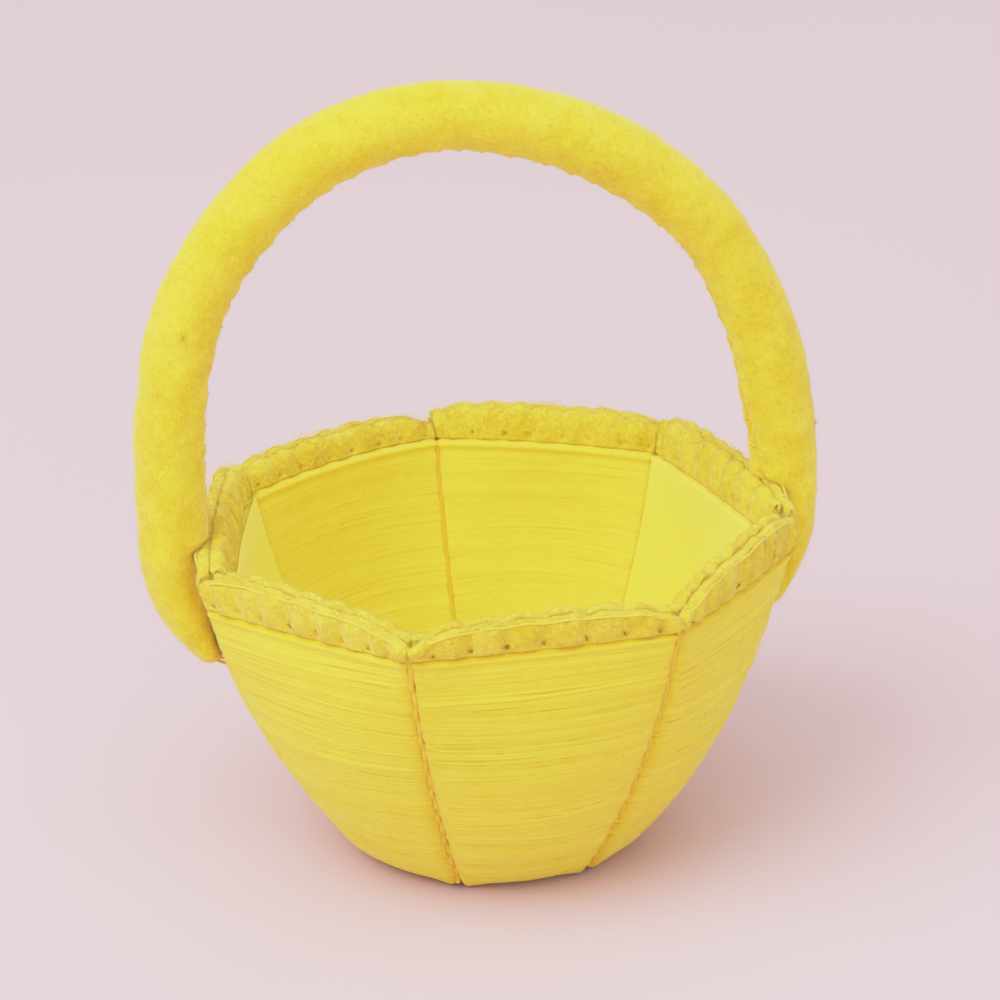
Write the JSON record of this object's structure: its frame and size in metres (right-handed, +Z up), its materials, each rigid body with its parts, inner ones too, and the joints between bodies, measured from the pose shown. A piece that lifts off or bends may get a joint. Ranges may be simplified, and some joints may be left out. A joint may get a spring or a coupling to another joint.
{
  "type": "easter basket",
  "caption": "Small hand-sewn felt basket: yarn-wound petals sewn into a bowl with a blanket-stitched rim, and a round felt-covered hoop handle sewn to opposite sides.",
  "frame": {"origin": "centre of the flat underside, on the bowl's axis", "axes": "+Z up through the bowl's mouth; the handle lies in the XZ plane with a foot at each end of X; -Y is out of the front petal"},
  "size_m": [0.102, 0.0885, 0.1168],
  "materials": {
    "yarn": "fine wound yarn, soft matt with a slight sheen along the strands",
    "felt": "wool felt, matt and fuzzy",
    "handle_felt": "wool felt drawn into a tube, matt and fuzzy",
    "rim_thread": "sewing thread, golden yellow",
    "seam_thread": "sewing thread, orange yellow",
    "lining": "smooth pale stiff felt",
    "cardboard": "plain grey-brown card",
    "core_cord": "padded cord over a soft wire"
  },
  "bodies": {
    "root": {"yarn_wrap_front": "yarn", "card_core_front": "cardboard", "outer_felt_front": "felt", "inner_felt_front": "felt", "rim_stitching_front": "rim_thread", "seam_thread_front": "seam_thread", "yarn_wrap_front_right": "yarn", "card_core_front_right": "cardboard", "outer_felt_front_right": "felt", "inner_felt_front_right": "felt", "rim_stitching_front_right": "rim_thread", "seam_thread_front_right": "seam_thread", "yarn_wrap_right": "yarn", "card_core_right": "cardboard", "outer_felt_right": "felt", "inner_felt_right": "felt", "rim_stitching_right": "rim_thread", "seam_thread_right": "seam_thread", "yarn_wrap_back_right": "yarn", "card_core_back_right": "cardboard", "outer_felt_back_right": "felt", "inner_felt_back_right": "felt", "rim_stitching_back_right": "rim_thread", "seam_thread_back_right": "seam_thread", "yarn_wrap_back_left": "yarn", "card_core_back_left": "cardboard", "outer_felt_back_left": "felt", "inner_felt_back_left": "felt", "rim_stitching_back_left": "rim_thread", "seam_thread_back_left": "seam_thread", "yarn_wrap_left": "yarn", "card_core_left": "cardboard", "outer_felt_left": "felt", "inner_felt_left": "felt", "rim_stitching_left": "rim_thread", "seam_thread_left": "seam_thread", "yarn_wrap_front_left": "yarn", "card_core_front_left": "cardboard", "outer_felt_front_left": "felt", "inner_felt_front_left": "felt", "rim_stitching_front_left": "rim_thread", "seam_thread_front_left": "seam_thread", "lining_right": "lining", "lining_left": "lining", "base_felt": "felt", "base_card": "cardboard", "floor_felt": "felt", "base_seam_thread": "seam_thread", "handle_felt": "handle_felt", "handle_core": "core_cord", "handle_seam_thread": "rim_thread", "foot_thread_left": "seam_thread", "foot_thread_right": "seam_thread"}
  },
  "joints": []
}
